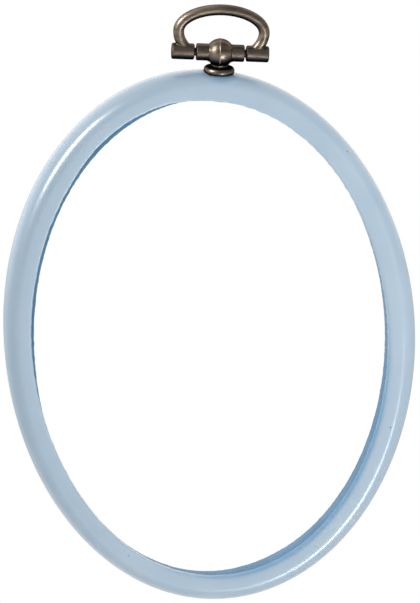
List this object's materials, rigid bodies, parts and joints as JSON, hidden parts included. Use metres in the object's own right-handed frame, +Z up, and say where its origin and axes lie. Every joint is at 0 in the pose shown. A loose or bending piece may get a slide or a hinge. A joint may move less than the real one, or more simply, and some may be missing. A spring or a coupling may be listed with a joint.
{
  "type": "embroidery hoop",
  "caption": "Oval embroidery hoop and hanging frame: soft domed outer ring over a stiff inner ring, with a swivelling metal hanger.",
  "frame": {"origin": "centre of the oval opening, level with the place on the rim where the hanger's screw comes out", "axes": "+Z up the long way of the oval towards the hanger, +X to the right seen from the front, -Y out of the domed face, +Y to the back"},
  "size_m": [0.1192, 0.0111, 0.1747],
  "materials": {
    "soft_vinyl": "glossy translucent pastel blue vinyl",
    "blue_plastic": "smooth deeper blue moulded plastic",
    "antique_brass": "polished antique brass plating, darkened in the hollows",
    "dark_pin": "dark plated steel",
    "bright_steel": "zinc plated steel"
  },
  "bodies": {
    "outer_frame": {"outer_ring": "soft_vinyl", "hanger_collar": "antique_brass", "screw_washer": "bright_steel"},
    "inner_frame": {"inner_ring": "blue_plastic"},
    "post": {"hanger_post": "antique_brass", "hanger_screw": "bright_steel"},
    "bail": {"hanger_bail": "antique_brass", "bail_pin": "dark_pin"}
  },
  "joints": [
    {"name": "inner_ring_release", "type": "slide", "parent": "outer_frame", "child": "inner_frame", "axis": [0, 1, 0], "range_m": [0, 0.03]},
    {"name": "post_swivel", "type": "hinge", "parent": "outer_frame", "child": "post", "pos_m": [0.0059, 0, 0.07772], "axis": [0.0907, -0.1736, 0.9806], "continuous": true},
    {"name": "bail_fold", "type": "hinge", "parent": "post", "child": "bail", "pos_m": [0.00637, -0.0009, 0.08282], "axis": [0.9957, 0, -0.0921], "range_deg": [-110, 110]}
  ]
}
